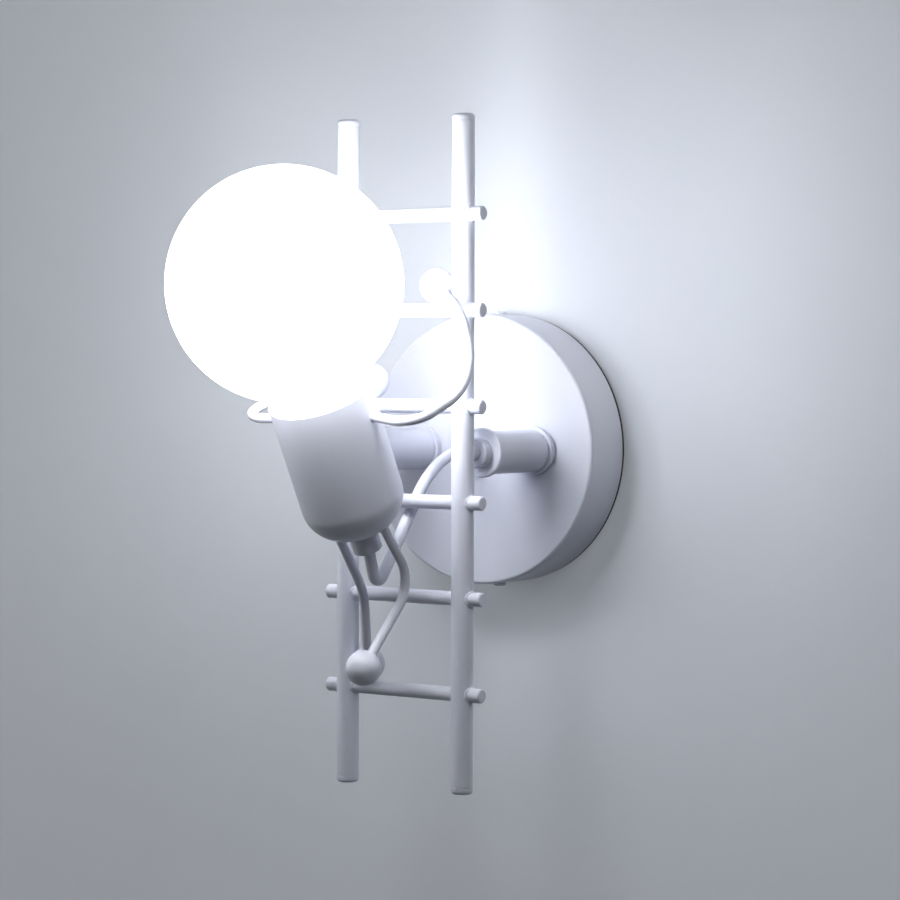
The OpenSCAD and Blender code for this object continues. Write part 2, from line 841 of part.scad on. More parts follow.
module standoff_screws() {
  start = canopy_floor - washer_t;
  color(zinc)
    off_wall()
      at_standoffs()
        translate([0, 0, start])
          rotate([180, 0, 0])
            pan_screw(screw_d, screw_head_d, screw_head_h, ladder_reach + rail_bore / 4 - start);
}

module standoff_washers() {
  color(zinc)
    off_wall()
      at_standoffs()
        translate([0, 0, canopy_floor - washer_t])
          ring(washer_d, screw_d + 2 * hole_gap, washer_t);
}

// Ladder

module rail(side) {
  color(white_paint)
    difference() {
      translate([side * rail_x, -ladder_reach, rail_bottom + cap_t])
        ring(rail_d, rail_bore, rail_top - rail_bottom - 2 * cap_t);
      for (i = [1:6])
        translate([side * rail_x - rail_d, -ladder_reach, rung_z(i)])
          rotate([0, 90, 0]) cylinder(d = rung_d + 2 * push_gap, h = 2 * rail_d);
      translate([side * rail_x, -ladder_reach, 0])
        rotate([-90, 0, 0]) cylinder(d = screw_d + 2 * hole_gap, h = rail_d);
    }
}

// One domed cap, its underside at z = 0, with a fine seam against the rail
module rail_end_cap() {
  r = rail_d / 2;
  rotate_extrude() {
    polygon([[0, 0], [r - cap_seam, 0], [r, cap_seam], [r, cap_t - cap_edge], [0, cap_t - cap_edge]]);
    square([r - cap_edge, cap_t]);
    intersection() {
      translate([r - cap_edge, cap_t - cap_edge]) circle(r = cap_edge);
      translate([r - cap_edge, cap_t - cap_edge]) square(cap_edge);
    }
    translate([0, -cap_spigot]) square([rail_bore / 2 - push_gap, cap_spigot]);
  }
}

module rail_end_caps() {
  color(white_paint)
    for (side = [-1, 1]) {
      translate([side * rail_x, -ladder_reach, rail_top - cap_t]) rail_end_cap();
      translate([side * rail_x, -ladder_reach, rail_bottom + cap_t]) mirror([0, 0, 1]) rail_end_cap();
    }
}

module rail_inserts() {
  color(zinc)
    for (side = [-1, 1])
      translate([side * rail_x, -ladder_reach, -insert_l / 2])
        difference() {
          cylinder(d = rail_bore - 2 * push_gap, h = insert_l);
          translate([0, -rail_bore, insert_l / 2])
            rotate([-90, 0, 0]) cylinder(d = screw_d + 2 * thread_gap, h = 2 * rail_bore);
        }
}

module rung(i) {
  half = rung_l / 2;
  r = rung_d / 2;
  color(white_paint)
    translate([0, -ladder_reach, rung_z(i)])
      rotate([0, 90, 0])
        rotate_extrude()
          polygon([
            [0, -half], [r - rung_edge, -half], [r, -half + rung_edge],
            [r, half - rung_edge], [r - rung_edge, half], [0, half]
          ]);
}

// Supply tube, from the canopy to the lamp cup

module canopy_nipple() {
  start = canopy_floor - nut_flange_t - nut_t - nipple_tail;
  color(zinc)
    off_wall()
      translate([0, 0, start])
        hollow_nipple(canopy_depth + canopy_thread_l - start);
}

module canopy_nut() {
  color(zinc)
    off_wall()
      translate([0, 0, canopy_floor])
        rotate([180, 0, 0]) flange_nut();
}

// Coupling with the nipple's thread at z = 0 and the tube's socket at the other end
module coupling(l, thread_l) {
  difference() {
    cylinder(d = coupling_d, h = l);
    translate([0, 0, -past]) cylinder(d = nipple_d + 2 * thread_gap, h = thread_l + past);
    cylinder(d = tube_d + 2 * push_gap, h = l + past);
  }
}

module canopy_coupling() {
  color(white_paint)
    off_wall()
      translate([0, 0, canopy_depth])
        coupling(canopy_coupling_l, canopy_thread_l);
}

module supply_tube() {
  last = len(tube_corners) - 1;
  bore_corners = [
    tube_corners[0] - way(tube_corners, 0) * past,
    each [for (i = [1:last - 1]) tube_corners[i]],
    tube_corners[last] + way(tube_corners, last - 1) * past
  ];
  color(white_paint)
    difference() {
      bar(route(tube_corners, tube_bends), tube_d);
      bar(route(bore_corners, tube_bends), tube_bore, 12);
    }
}

module cup_coupling() {
  color(white_paint)
    at_head()
      rotate([180, 0, 0]) coupling(cup_coupling_l, nipple_thread_l);
}

module cup_nipple() {
  color(zinc)
    at_head()
      translate([0, 0, -nipple_thread_l])
        hollow_nipple(nipple_thread_l + base_w + base_grip);
}

module cup_nut() {
  color(zinc)
    at_head()
      translate([0, 0, cup_wall]) flange_nut();
}

// The figure: cup, arms, legs, hands and feet

// Hole for the first stretch of a wire through the sheet of the cup
module limb_hole(p) {
  inside = 3;
  outside = 6;
  rod(p[0] - way(p, 0) * inside, p[0] + way(p, 0) * outside, limb_d + 2 * push_gap);
}

module lamp_cup() {
  color(white_paint)
    difference() {
      at_head()
        translate([0, 0, cup_l])
          rotate([180, 0, 0])
            rotate_extrude($fn = 96)
              difference() {
                cup_half(cup_d / 2, cup_l, cup_round);
                translate([0, -past])
                  cup_half(cup_d / 2 - cup_wall, cup_l - cup_wall + past, cup_round - cup_wall);
              }
      at_head()
        translate([0, 0, -past]) cylinder(d = nipple_d + 2 * hole_gap, h = cup_wall + 2 * past);
      limb_hole(arm_left_corners);
      limb_hole(arm_right_corners);
      limb_hole(leg_left_corners);
      limb_hole(leg_right_corners);
    }
}

module limb(corners, bends) {
  color(white_paint)
    bar(route(with_end(corners, ball_seat(corners)), bends), limb_d);
}

module ball(corners) {
  n = len(corners) - 1;
  color(white_paint)
    translate(corners[n])
      facing(-way(corners, n - 1))
        difference() {
          sphere(d = ball_d);
          translate([0, 0, ball_d / 2 - ball_grip])
            cylinder(d = limb_d + 2 * push_gap, h = ball_grip + past);
        }
}

// Lampholder

module holder_base() {
  color(cream)
    at_head()
      difference() {
        translate([0, 0, base_w]) cylinder(d = base_d, h = base_h);
        translate([0, 0, base_w - past])
          cylinder(d = nipple_d + 2 * thread_gap, h = base_h);
        translate([0, 0, base_w + base_grip]) cylinder(d = base_d - 2 * base_wall, h = base_h);
      }
}

module holder_body() {
  color(cream)
    at_head()
      difference() {
        translate([0, 0, holder_w]) cylinder(d = holder_d, h = holder_h);
        translate([0, 0, floor_w]) cylinder(r = shell_r + push_gap, h = holder_h);
        for (x = [live_stud_x, neutral_stud_x])
          translate([x, 0, holder_w - past])
            cylinder(d = stud_d + 2 * push_gap, h = holder_floor + 2 * past);
      }
}

module screw_shell() {
  inner = thread_rows(thread_mean_r + shell_gap, floor_w + shell_foot_t, shell_top, 1);
  last = len(inner) - 1;
  color(brass)
    at_head()
      threaded_ring([
        [shell_foot_r, floor_w, 0],
        [shell_r, floor_w, 0],
        [shell_r, shell_top, 0],
        each [for (i = [last:-1:0]) inner[i]],
        [shell_foot_r, floor_w + shell_foot_t, 0]
      ]);
}

module centre_contact() {
  low = floor_w;
  high = floor_w + contact_h;
  reach = contact_w / 2;
  ramp = 1.5;
  color(brass)
    at_head()
      translate([0, contact_w / 2, 0])
        rotate([90, 0, 0])
          linear_extrude(contact_w)
            polygon([
              [-contact_far, low], [-reach - ramp, low], [-reach, high - contact_t],
              [reach, high - contact_t], [reach, high], [-reach - contact_t, high],
              [-reach - ramp - contact_t, low + contact_t], [-contact_far, low + contact_t]
            ]);
}

// One terminal under the floor of the ceramic body, with its stud and its hole for the wire
module holder_terminal(x, stud_x, mouth_x, mouth_dir) {
  difference() {
    union() {
      translate([x, -terminal.y / 2, holder_w - terminal.z]) cube(terminal);
      translate([stud_x, 0, holder_w - past]) cylinder(d = stud_d, h = holder_floor + past);
    }
    translate([mouth_x - mouth_dir * past, 0, terminal_w])
      rotate([0, 90 * mouth_dir, 0])
        cylinder(d = wire_d + 2 * push_gap, h = wire_seat + past);
  }
}

module holder_terminals() {
  color(brass)
    at_head() {
      holder_terminal(live_terminal_x, live_stud_x, live_terminal_x + terminal.x, -1);
      holder_terminal(neutral_terminal_x, neutral_stud_x, neutral_terminal_x, 1);
    }
}

// Wires, whole along their routes

module lamp_wire(corners) {
  bends = [wire_bend, wire_bend, each tube_bends, wire_bend / 2];
  bar(route(corners, bends, 15), wire_d, 8);
}

module live_wire() {
  color("saddlebrown") lamp_wire(live_corners);
}

module neutral_wire() {
  color("steelblue") lamp_wire(neutral_corners);
}

module earth_wire() {
  color("yellowgreen") bar(route(earth_corners, [wire_bend, wire_bend], 15), earth_wire_d, 8);
}

// Bulb

module bulb_tip() {
  edge = 0.5;
  color(zinc)
    at_head()
      rotate_extrude()
        polygon([
          [0, tip_w], [tip_d / 2 - edge, tip_w], [tip_d / 2, tip_w + edge],
          [tip_d / 2, tip_w + tip_h], [0, tip_w + tip_h]
        ]);
}

module bulb_insulator() {
  lower_r = tip_d / 2 + insulator_edge;
  upper_r = cap_bore_r - insulator_inset;
  color([0.1, 0.1, 0.12])
    at_head()
      rotate_extrude()
        polygon([[0, tip_w + tip_h], [lower_r, tip_w + tip_h], [upper_r, cap_w], [0, cap_w]]);
}

module bulb_cap() {
  lip_r = cap_bore_r - cap_lip;
  color(zinc)
    at_head()
      threaded_ring([
        [lip_r, cap_w, 0],
        each thread_rows(thread_mean_r, cap_w, cap_thread_top, -1),
        [cap_rim_r, cap_thread_top + cap_sheet, 0],
        [cap_rim_r, cap_top, 0],
        [cap_bore_r, cap_top, 0],
        [cap_bore_r, cap_w + cap_sheet, 0],
        [lip_r, cap_w + cap_sheet, 0]
      ]);
}

module bulb_collar() {
  spigot_r = cap_bore_r * cos(180 / thread_sides) - push_gap;
  spigot_w = cap_top - collar_spigot;
  lower_r = cap_rim_r + collar_edge;
  color("white")
    at_head()
      rotate_extrude()
        polygon([
          [spigot_r - collar_wall, spigot_w], [spigot_r, spigot_w], [spigot_r, cap_top],
          [lower_r, cap_top], [neck_d / 2, neck_w], [collar_lip_r, neck_w], [collar_lip_r, collar_top],
          [collar_lip_r - collar_wall, collar_top], [collar_lip_r - collar_wall, neck_w],
          [spigot_r - collar_wall, cap_top + collar_wall]
        ]);
}

module led_board() {
  color("white")
    at_head()
      translate([0, 0, collar_top]) cylinder(r = board_r, h = board_t);
}

module led_chips() {
  color("khaki")
    at_head()
      for (k = [0:chip_count - 1])
        rotate([0, 0, 360 * k / chip_count])
          translate([chip_ring_r - chip.x / 2, -chip.y / 2, collar_top + board_t]) cube(chip);
}

// Half outline of a globe of radius r on a neck, its middle at the origin
module globe_half(r, neck_r, blend, bottom) {
  reach = neck_r + blend;
  drop = sqrt((r + blend) ^ 2 - reach ^ 2);
  touch = r / (r + blend);
  intersection() {
    union() {
      circle(r = r, $fn = 128);
      translate([0, -bottom]) square([neck_r, bottom]);
      difference() {
        translate([0, -drop]) square([reach * touch, drop * (1 - touch)]);
        translate([reach, -drop]) circle(r = blend);
      }
    }
    translate([0, -bottom]) square([r, bottom + r]);
  }
}

module bulb_globe() {
  neck_l = globe_w - neck_w;
  color("white")
    at_head()
      translate([0, 0, globe_w])
        rotate_extrude($fn = 128)
          difference() {
            globe_half(globe_r, neck_d / 2, neck_blend, neck_l);
            globe_half(globe_r - glass_t, neck_d / 2 - glass_t, neck_blend + glass_t, neck_l + past);
          }
}

wall_bracket();
earth_screw();
earth_lug();
terminal_block();
terminal_screws();
block_screw();
canopy();
wall_seal();
side_screws();
base_ring(-1);  // base_ring_left
base_ring(1);  // base_ring_right
standoff_tube(-1);  // standoff_tube_left
standoff_tube(1);  // standoff_tube_right
front_ring(-1);  // front_ring_left
front_ring(1);  // front_ring_right
spacer(-1);  // spacer_left
spacer(1);  // spacer_right
standoff_screws();
standoff_washers();
rail(-1);  // rail_left
rail(1);  // rail_right
rail_end_caps();
rail_inserts();
rung(1);  // rung_1
rung(2);  // rung_2
rung(3);  // rung_3
rung(4);  // rung_4
rung(5);  // rung_5
rung(6);  // rung_6
canopy_nipple();
canopy_nut();
canopy_coupling();
supply_tube();
cup_coupling();
cup_nipple();
cup_nut();
lamp_cup();
limb(arm_left_corners, arm_left_bends);  // arm_left
limb(arm_right_corners, arm_right_bends);  // arm_right
ball(arm_left_corners);  // hand_left
ball(arm_right_corners);  // hand_right
limb(leg_left_corners, leg_left_bends);  // leg_left
limb(leg_right_corners, leg_right_bends);  // leg_right
ball(leg_left_corners);  // foot_left
ball(leg_right_corners);  // foot_right
holder_base();
holder_body();
screw_shell();
centre_contact();
holder_terminals();
live_wire();
neutral_wire();
earth_wire();
bulb_tip();
bulb_insulator();
bulb_cap();
bulb_collar();
led_board();
led_chips();
bulb_globe();
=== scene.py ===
"""Finishes, bent bars, welds and stage of a wall lamp in the form of a figure on a ladder."""

import math

import bpy
from bpy.props import FloatProperty, FloatVectorProperty, IntProperty, PointerProperty
from mathutils import Matrix, Vector, noise


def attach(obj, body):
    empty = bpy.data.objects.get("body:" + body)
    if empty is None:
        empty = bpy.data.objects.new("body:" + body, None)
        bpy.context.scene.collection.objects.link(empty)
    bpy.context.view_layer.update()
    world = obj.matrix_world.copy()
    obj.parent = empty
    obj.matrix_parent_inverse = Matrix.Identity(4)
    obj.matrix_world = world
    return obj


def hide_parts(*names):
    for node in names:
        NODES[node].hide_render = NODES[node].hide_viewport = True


bl_info = {
    "name": "Ladder wall lamp",
    "version": (1, 0, 0),
    "blender": (4, 5, 0),
    "location": "3D View > Sidebar > Lamp",
    "description": "Finishes, bent bars, welds and stage of a wall lamp",
    "category": "Object",
}

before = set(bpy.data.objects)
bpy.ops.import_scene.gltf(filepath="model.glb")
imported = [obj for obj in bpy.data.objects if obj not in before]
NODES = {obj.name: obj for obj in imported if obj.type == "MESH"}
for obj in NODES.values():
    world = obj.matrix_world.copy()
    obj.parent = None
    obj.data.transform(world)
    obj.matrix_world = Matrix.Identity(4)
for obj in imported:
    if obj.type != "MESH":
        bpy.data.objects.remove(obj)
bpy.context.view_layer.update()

# Sizes and places of the part's source, in millimetres
MM = 0.001
HEAD_AT = Vector((0, -109.5, -31.5))
HEAD_TILT = math.radians(27)
LADDER_REACH = 80
RAIL_X = 30
RAIL_R = 4.75
RUNG_R = 3
RUNG_Z = (99.5, 59.5, 19.5, -20.5, -60.5, -100.5)
BALL_R = 7.3
BALL_GRIP = 4
CUP_R = 21.5
CUP_FLOOR_R = 6
CUP_ROUND = 15.5
COUPLING_L = 9
CANOPY_COUPLING_Y = -34
NIPPLE_THREAD_L = 5
THREAD_PITCH = 3.629
THREAD_MEAN_R = 12.575
THREAD_DEPTH = 0.9

# The terminal block, the lampholder's terminals and the bends of the wires at both
BLOCK_Y, BLOCK_Z = -9, 18
TERMINAL_W = 15
BLOCK_BEND, TERMINAL_BEND = 3, 1.5

# Screw shell and bulb cap: radii, and places along the cup's axis
SHELL_HOLE_R, SHELL_R, SHELL_THREAD_R = 10.2, 13.875, THREAD_MEAN_R + 0.35
SHELL_LOW, SHELL_FLOOR, SHELL_TOP = 22, 22.5, 45
CAP_HOLE_R, CAP_BORE_R, CAP_RIM_R = 9.125, 11.725, 13.3
CAP_LOW, CAP_FLOOR, CAP_THREAD_TOP, CAP_RIM_LOW, CAP_TOP = 30.3, 30.8, 46.3, 46.8, 50.3

# Stretches of the cup's axis along which the globe's glow rises from the neck and falls to the crown
NECK_STRETCH, CROWN_STRETCH = (58, 84), (95, 155)

# Faces round a weld and round a wire, and those faces of the earth wire that its stripes take up
WELD_SIDES, WIRE_SIDES = 10, 16
STRIPE_FACES = (0, 1, 2, 8, 9, 10)

# How uneven a weld is, its waves in a millimetre, and the finer welds as shares of a rung's
WELD_UNEVEN, WELD_WAVES = 0.22, 0.9
BALL_WELD, CUP_WELD, TUBE_WELD = 0.7, 0.8, 0.7

# The camera, fitted to the lamp's outlines: metres, radians, and millimetres for lens and sensor
CAMERA_AT = (0.727236, -1.061395, 0.039116)
CAMERA_TURN, CAMERA_RISE, CAMERA_ROLL = 0.622114, 0.0312255, 0.00261755
CAMERA_LENS, CAMERA_SENSOR = 115.95, 36

# Places and sizes of wall, floor and lights, in metres
STAGE_SIZE = 6
WALL_AT, FLOOR_AT = (0, 0.0006, 0), (0, -3, -1.7)
KEY_AT, KEY_SIZE = (-1.9, -0.8, 0.6), 1.4
FILL_AT, BACK_AT, FILL_SIZE = (1.5, -0.9, 1.4), (0.5, 1.4, 0.9), 1.2


def head(x, v, w):
    """A place given along the cup's own directions: to the right, across, and along its axis."""
    s, c = math.sin(HEAD_TILT), math.cos(HEAD_TILT)
    return HEAD_AT + Vector((x, v * c - w * s, v * s + w * c))


HEAD_AXIS = (head(0, 0, 1) - head(0, 0, 0)).normalized()

# Corner points and bend radii of the bent bars; the last point of a limb is the middle of its ball
LIMBS = {
    "arm_right": (
        [head(20.598, 2.895, 52), head(42, 1.2, 49.4), Vector((47.75, -94.4, 29.6)),
         Vector((39.75, -94.4, 57.6)), Vector((17.55, -81.2, 69.78))],
        [12, 28, 18]),
    "arm_left": (
        [head(-20.8, 0, 52), head(-51.4, 0, 51.2), Vector((-44.5, -100.5, 24.9)),
         Vector((-17.3, -80, 29.85))],
        [16, 13]),
    "leg_right": (
        [head(13, -1.8, 3.471), Vector((12.3, -91, -53.7)), Vector((10, -121.5, -87.15))],
        [14.5]),
    "leg_left": (
        [head(-13, -1.8, 3.471), Vector((-12.4, -92, -58.3)), Vector((-17.65, -82.2, -90.387))],
        [45]),
}
TUBE_BENDS = [46.4, 3.5, 8]


def tube_corners(x):
    """The corners of the supply tube's route, x beside its middle."""
    return [Vector((x, -56.5, 0)), head(x, -2.8, -27), head(x, 0, -11)]


def lamp_wire(pole_x, drop_z, tube_x, terminal_x):
    """Corners and bends of a wire from a pole of the block, through the tube, to a lampholder terminal."""
    corners = [
        Vector((pole_x, BLOCK_Y, BLOCK_Z)), Vector((pole_x, BLOCK_Y, drop_z)), Vector((tube_x, BLOCK_Y, 0)),
        *tube_corners(tube_x), head(tube_x, 0, TERMINAL_W), head(terminal_x, 0, TERMINAL_W)]
    return corners, [BLOCK_BEND, BLOCK_BEND, *TUBE_BENDS, TERMINAL_BEND]


TUBE = [Vector((0, -29.5, 0)), *tube_corners(0), head(0, 0, -NIPPLE_THREAD_L)], TUBE_BENDS
WIRES = {
    "live_wire": lamp_wire(-9, 4, -0.8, -8),
    "neutral_wire": lamp_wire(0, 6, 0.8, 9),
    "earth_wire": (
        [Vector((9, BLOCK_Y, BLOCK_Z)), Vector((9, BLOCK_Y, 4)), Vector((8, -3.55, -3.2)),
         Vector((8, -3.55, -11.2))],
        [BLOCK_BEND, BLOCK_BEND]),
}

PAINTED = (
    "canopy", "side_screws", "base_ring_left", "base_ring_right", "standoff_tube_left",
    "standoff_tube_right", "front_ring_left", "front_ring_right", "spacer_left", "spacer_right",
    "rail_left", "rail_right", "rail_end_caps", "rung_1", "rung_2", "rung_3", "rung_4", "rung_5", "rung_6",
    "canopy_coupling", "cup_coupling", "lamp_cup", "hand_left", "hand_right", "foot_left", "foot_right")
ZINC_PLATED = (
    "wall_bracket", "earth_screw", "earth_lug", "block_screw", "standoff_screws", "standoff_washers",
    "rail_inserts", "canopy_nipple", "canopy_nut", "cup_nipple", "cup_nut")


# Shader values

class Value:
    """A socket of a finish, with the arithmetic that the finishes use."""

    def __init__(self, finish, socket):
        self.finish = finish
        self.socket = socket

    def math(self, operation, first, second):
        return self.finish.node("ShaderNodeMath", {"operation": operation}, {0: first, 1: second})

    def __add__(self, other):
        return self.math("ADD", self, other)

    def __radd__(self, other):
        return self.math("ADD", other, self)

    def __sub__(self, other):
        return self.math("SUBTRACT", self, other)

    def __rsub__(self, other):
        return self.math("SUBTRACT", other, self)

    def __mul__(self, other):
        return self.math("MULTIPLY", self, other)

    def __rmul__(self, other):
        return self.math("MULTIPLY", other, self)

    def __gt__(self, other):
        return self.math("GREATER_THAN", self, other)


class Finish:
    """A node tree that is built from expressions: a material's, or the world's."""

    def __init__(self, tree):
        self.tree = tree
        self.tree.nodes.clear()

    def node(self, kind, settings=None, inputs=None, output=0):
        """Adds a node: its settings first, then the values or links of its sockets."""
        made = self.tree.nodes.new(kind)
        for key, value in (settings or {}).items():
            setattr(made, key, value)
        for key, value in (inputs or {}).items():
            if isinstance(value, Value):
                self.tree.links.new(value.socket, made.inputs[key])
            else:
                made.inputs[key].default_value = value
        return Value(self, made.outputs[output]) if made.outputs else None

    def in_view(self):
        """1 for what the camera sees, also in gloss or through glass, and 0 for bounced light."""
        camera, gloss, glass = (
            self.node("ShaderNodeLightPath", output=f"Is {kind} Ray")
            for kind in ("Camera", "Glossy", "Transmission"))
        return camera + gloss + glass

    def place(self):
        """Coordinates that stay with the piece, in metres."""
        return self.node("ShaderNodeTexCoord", output="Object")

    def grain(self, scale, detail):
        """Smooth noise from 0 to 1, with about scale waves in a metre."""
        return self.node("ShaderNodeTexNoise", inputs={
            "Vector": self.place(), "Scale": scale, "Detail": detail})

    def dimples(self, scale):
        """Distance to the nearest of many scattered points."""
        return self.node("ShaderNodeTexVoronoi", inputs={"Vector": self.place(), "Scale": scale})

    def between(self, low, high, factor):
        """A colour between two colours, by the colour sockets of the Mix node."""
        return self.node(
            "ShaderNodeMix", {"data_type": "RGBA"}, {0: factor, 6: opaque(low), 7: opaque(high)}, output=2)

    def relief(self, height, depth, strength):
        """A normal for a surface whose height is given, 0 to 1 over depth metres."""
        return self.node("ShaderNodeBump", inputs={"Height": height, "Distance": depth, "Strength": strength})

    def surface(self, **inputs):
        """The principled surface of the finish, with its sockets named in words."""
        shader = self.node("ShaderNodeBsdfPrincipled", inputs={
            key.replace("_", " ").title(): value for key, value in inputs.items()})
        self.node("ShaderNodeOutputMaterial", inputs={"Surface": shader})


def opaque(color):
    """A colour with full alpha; a socket stays as it is."""
    return color if isinstance(color, Value) else (*color, 1)


def shade(color, factor):
    """A colour made darker or lighter."""
    return tuple(min(1, channel * factor) for channel in color)


def new_finish(name):
    """A new material and the finish that fills its node tree."""
    material = bpy.data.materials.new(name)
    material.use_nodes = True
    return material, Finish(material.node_tree)


def powder_coat(finishes):
    """Satin powder coat: a faint orange peel, fine pinholes and a slight drift in tone."""
    material, f = new_finish("powder_coat")
    color = tuple(finishes.paint_color)
    drift = f.grain(9, 3)
    peel = f.grain(620, 2)
    pinholes = f.dimples(1500)
    f.surface(
        base_color=f.between(shade(color, 0.95), shade(color, 1.03), drift * 0.8 + peel * 0.2),
        roughness=finishes.paint_roughness - 0.07 + peel * 0.1 + drift * 0.04,
        normal=f.relief(peel * 0.85 + pinholes * 0.15, 0.0002, finishes.paint_peel),
        coat_weight=0.12,
        coat_roughness=0.25)
    return material


def zinc_plate(finishes):
    """Bright zinc plate: drawn streaks, spangle and a little dulling."""
    material, f = new_finish("zinc_plate")
    color = tuple(finishes.zinc_color)
    spangle = f.dimples(420)
    dull = f.grain(70, 4)
    streaks = f.grain(2600, 1)
    f.surface(
        base_color=f.between(shade(color, 0.8), shade(color, 1.06), spangle * 0.5 + dull * 0.5),
        metallic=1.0,
        roughness=0.26 + dull * 0.22 + spangle * 0.06,
        normal=f.relief(streaks * 0.6 + dull * 0.4, 0.0001, 0.15))
    return material


def bare_brass(finishes):
    """Stamped brass with brown tarnish in patches."""
    material, f = new_finish("bare_brass")
    color = tuple(finishes.brass_color)
    tarnish = f.grain(160, 4)
    drawn = f.grain(3200, 1)
    f.surface(
        base_color=f.between(shade(color, 0.62), color, tarnish * 1.3 - 0.1),
        metallic=1.0,
        roughness=0.42 - tarnish * 0.18,
        normal=f.relief(drawn, 0.00008, 0.2))
    return material


def moulded_plastic(name, color, gloss):
    """Moulded plastic with a spark-eroded skin."""
    material, f = new_finish(name)
    skin = f.grain(2200, 2)
    flow = f.grain(60, 3)
    f.surface(
        base_color=f.between(shade(color, 0.93), shade(color, 1.03), flow),
        roughness=gloss + skin * 0.12,
        normal=f.relief(skin, 0.0001, 0.18))
    return material


def thin_glaze(finishes):
    """Porcelain under a thin glaze, with fine iron specks."""
    material, f = new_finish("thin_glaze")
    color = tuple(finishes.porcelain_color)
    body = f.grain(90, 3)
    speck = f.grain(1900, 0) > 0.74
    f.surface(
        base_color=f.between(f.between(shade(color, 0.95), color, body), shade(color, 0.55), speck * 0.6),
        roughness=0.2 + body * 0.12,
        coat_weight=0.5,
        coat_roughness=0.1,
        normal=f.relief(body, 0.0003, 0.2))
    return material


def insulation(name, color):
    """Soft wire insulation, a little scuffed."""
    material, f = new_finish(name)
    scuff = f.grain(900, 3)
    f.surface(
        base_color=f.between(shade(color, 0.82), shade(color, 1.1), scuff),
        roughness=0.38 + scuff * 0.2,
        normal=f.relief(scuff, 0.0001, 0.12))
    return material


def dark_rim_line():
    """Near-black finish with small cells, for the piece between the canopy's rim and the wall: it makes the
    dark line round the canopy.
    """
    material, f = new_finish("dark_rim_line")
    cells = f.dimples(1800)
    f.surface(
        base_color=f.between((0.012, 0.012, 0.014), (0.03, 0.03, 0.034), cells),
        roughness=0.8 + cells * 0.12,
        normal=f.relief(cells, 0.0002, 0.4))
    return material


def nickel_plate():
    """Bright nickel on the bulb's cap, rubbed in patches."""
    material, f = new_finish("nickel_plate")
    rub = f.grain(240, 3)
    f.surface(
        base_color=f.between((0.56, 0.55, 0.53), (0.72, 0.71, 0.69), rub),
        metallic=1.0,
        roughness=0.2 + rub * 0.16,
        normal=f.relief(f.grain(2400, 1), 0.00006, 0.15))
    return material


def black_insulator():
    """Black pressed glass with flow lines."""
    material, f = new_finish("black_insulator")
    flow = f.grain(300, 3)
    f.surface(
        base_color=f.between((0.012, 0.012, 0.014), (0.035, 0.035, 0.04), flow),
        roughness=0.12 + flow * 0.12,
        normal=f.relief(flow, 0.0002, 0.2))
    return material


def solder_mask():
    """White solder mask over copper, which shows as a faint web."""
    material, f = new_finish("solder_mask")
    web = f.dimples(520)
    f.surface(
        base_color=f.between((0.8, 0.8, 0.78), (0.9, 0.9, 0.89), web),
        roughness=0.3 + web * 0.15,
        normal=f.relief(web, 0.00006, 0.3))
    return material


def phosphor(finishes):
    """Yellow phosphor of a light chip, lit."""
    material, f = new_finish("phosphor")
    dust = f.grain(3000, 2)
    f.surface(
        base_color=f.between((0.8, 0.62, 0.14), (0.95, 0.82, 0.3), dust),
        roughness=0.55 + dust * 0.15,
        emission_color=f.between((1, 0.9, 0.7), (1, 0.97, 0.88), dust),
        emission_strength=finishes.glow_strength)
    return material


def opal_glass(finishes):
    """Opal glass, lit from inside: brightest round the light chips, dimmer at the crown and in the neck."""
    material, f = new_finish("opal_glass")
    along = f.node("ShaderNodeVectorMath", {"operation": "DOT_PRODUCT"}, {
        0: f.place(), 1: HEAD_AXIS}, output="Value")

    def step(low, high):
        return f.node("ShaderNodeMapRange", {"interpolation_type": "SMOOTHSTEP"}, {
            "Value": along, "From Min": HEAD_AXIS.dot(head(0, 0, low) * MM),
            "From Max": HEAD_AXIS.dot(head(0, 0, high) * MM)})

    lit = (finishes.neck_glow + step(*NECK_STRETCH) * (1 - finishes.neck_glow)) * (
        1 - step(*CROWN_STRETCH) * (1 - finishes.crown_glow))
    milk = f.grain(40, 3)
    f.surface(
        base_color=f.between((0.88, 0.89, 0.9), (0.95, 0.95, 0.96), milk),
        roughness=0.22 + milk * 0.08,
        coat_weight=0.2,
        emission_color=f.between((0, 0, 0), tuple(finishes.glow_color), lit),
        emission_strength=finishes.glow_strength)
    return material


# Shapes

def bent_route(corners, bends, step=math.radians(4)):
    """Points along a bent bar: straight stretches joined by arcs."""
    points = [corners[0]]
    for before, corner, after, radius in zip(corners, corners[1:], corners[2:], bends):
        a = (corner - before).normalized()
        b = (after - corner).normalized()
        angle = a.angle(b)
        side = a.cross(b).normalized().cross(a)
        start = corner - a * radius * math.tan(angle / 2)
        count = max(6, math.ceil(angle / step))
        for k in range(count + 1):
            t = angle * k / count
            points.append(start + side * radius * (1 - math.cos(t)) + a * radius * math.sin(t))
    points.append(corners[-1])
    return points


def directions(points, closed=False):
    """The direction of a line of points at each of them."""
    count = len(points)
    found = []
    for i in range(count):
        last = points[i - 1] if closed or i > 0 else points[i]
        following = points[(i + 1) % count] if closed or i < count - 1 else points[i]
        found.append((following - last).normalized())
    return found


def rings_along(points, radii, sides, closed=False):
    """Rings of points round a line, carried along it without twist."""
    rings = []
    ways = directions(points, closed)
    across = ways[0].orthogonal().normalized()
    for point, way, radius in zip(points, ways, radii):
        across = (across - way * across.dot(way)).normalized()
        other = way.cross(across)
        rings.append([
            point + radius * (across * math.cos(t) + other * math.sin(t))
            for t in (2 * math.pi * k / sides for k in range(sides))])
    return rings


